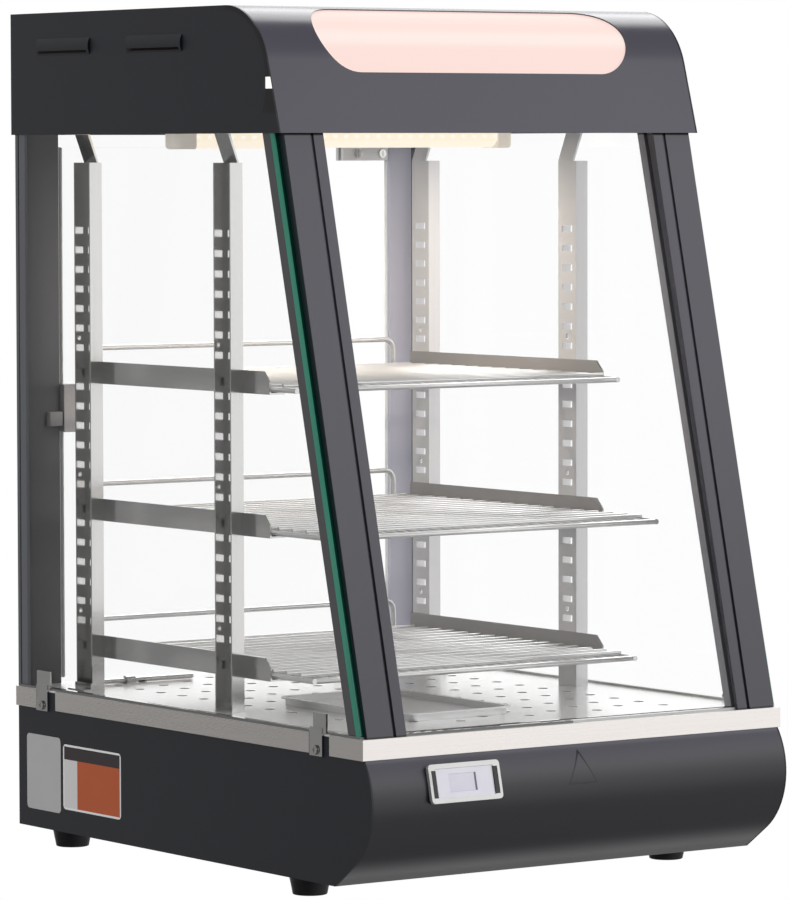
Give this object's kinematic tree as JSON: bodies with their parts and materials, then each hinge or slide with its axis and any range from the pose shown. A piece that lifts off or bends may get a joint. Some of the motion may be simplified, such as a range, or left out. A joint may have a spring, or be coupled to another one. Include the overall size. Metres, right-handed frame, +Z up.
{
  "type": "heated display case",
  "caption": "Counter-top heated display case with a black base, glass walls, slanted front glass, wire shelves on slotted uprights, a rear glass door and a lit rounded cover.",
  "frame": {"origin": "centre of the whole case's outline, on the counter top under its feet", "axes": "+X to the right seen from the customer's side, -Y towards the slanted front glass, +Y towards the rear door, +Z up"},
  "size_m": [0.383, 0.505, 0.638],
  "materials": {
    "black_paint": "satin black powder coat",
    "steel": "fine brushed stainless steel",
    "bright_steel": "bright polished steel",
    "aluminium": "plain aluminium",
    "rubber": "black rubber",
    "glass": "clear float glass with green edges",
    "opal": "warm white opal plastic",
    "grey_plastic": "grey plastic",
    "black_plastic": "black plastic",
    "silver_plastic": "silver painted plastic",
    "screen": "grey-green liquid crystal screen"
  },
  "bodies": {
    "case": {"base_front_panel": "black_paint", "base_side_left": "black_paint", "base_side_right": "black_paint", "base_bottom_plate": "black_paint", "base_rear_panel": "black_paint", "steel_band": "steel", "feet": "rubber", "foot_screws": "bright_steel", "floor_plate": "steel", "glass_gasket": "rubber", "front_glass": "glass", "side_glass_left": "glass", "side_glass_right": "glass", "front_posts": "black_paint", "rear_posts": "black_paint", "glass_clips": "steel", "clip_screws": "bright_steel", "cover_shell": "black_paint", "cover_side_left": "black_paint", "cover_side_right": "black_paint", "cover_rear_panel": "black_paint", "roof_plate": "steel", "diffuser": "opal", "diffuser_brackets": "black_paint", "window_leds": "aluminium", "led_driver": "grey_plastic", "lamp_housing": "aluminium", "lamp_lens": "opal", "lamp_caps": "grey_plastic", "uprights_left": "steel", "uprights_right": "steel", "shelf_brackets_left": "steel", "shelf_brackets_right": "steel", "temperature_probe": "bright_steel", "probe_clip": "steel", "heating_element": "bright_steel", "heater_brackets": "steel", "thermometer_bezel": "silver_plastic", "thermometer_body": "black_plastic", "thermometer_screen": "screen", "thermostat_body": "black_plastic", "switch_housings": "black_plastic", "cable_gland": "black_plastic", "pivot_sockets": "black_plastic", "magnet_catch": "black_plastic"},
    "door": {"door_glass": "glass", "door_clamps": "bright_steel", "clamp_bolts": "bright_steel", "pivot_pins": "bright_steel", "door_handle": "grey_plastic"},
    "shelf_top": {"grid_top": "bright_steel", "stop_top": "bright_steel"},
    "shelf_middle": {"grid_middle": "bright_steel", "stop_middle": "bright_steel"},
    "shelf_lower": {"grid_lower": "bright_steel", "stop_lower": "bright_steel"},
    "tray": {"water_tray": "steel"},
    "knob": {"thermostat_knob": "black_plastic"},
    "power_rocker": {"power_switch": "black_plastic"},
    "light_rocker": {"light_switch": "black_plastic"}
  },
  "joints": [
    {"name": "door_hinge", "type": "hinge", "parent": "case", "child": "door", "pos_m": [0.1518, 0.2282, 0.12], "axis": [0, 0, -1], "range_deg": [0, 100]},
    {"name": "shelf_top_lift", "type": "slide", "parent": "case", "child": "shelf_top", "axis": [0, 0, 1], "range_m": [0, 0.05]},
    {"name": "shelf_middle_lift", "type": "slide", "parent": "case", "child": "shelf_middle", "axis": [0, 0, 1], "range_m": [0, 0.05]},
    {"name": "shelf_lower_lift", "type": "slide", "parent": "case", "child": "shelf_lower", "axis": [0, 0, 1], "range_m": [0, 0.05]},
    {"name": "tray_lift", "type": "slide", "parent": "case", "child": "tray", "axis": [0, 0, 1], "range_m": [0, 0.012]},
    {"name": "knob_turn", "type": "hinge", "parent": "case", "child": "knob", "pos_m": [0.11, 0.24, 0.066], "axis": [0, 1, 0], "range_deg": [0, 300]},
    {"name": "power_rock", "type": "hinge", "parent": "case", "child": "power_rocker", "pos_m": [0.02, 0.2278, 0.066], "axis": [1, 0, 0], "range_deg": [-10, 10]},
    {"name": "light_rock", "type": "hinge", "parent": "case", "child": "light_rocker", "pos_m": [0.056, 0.2278, 0.066], "axis": [1, 0, 0], "range_deg": [-10, 10]}
  ]
}
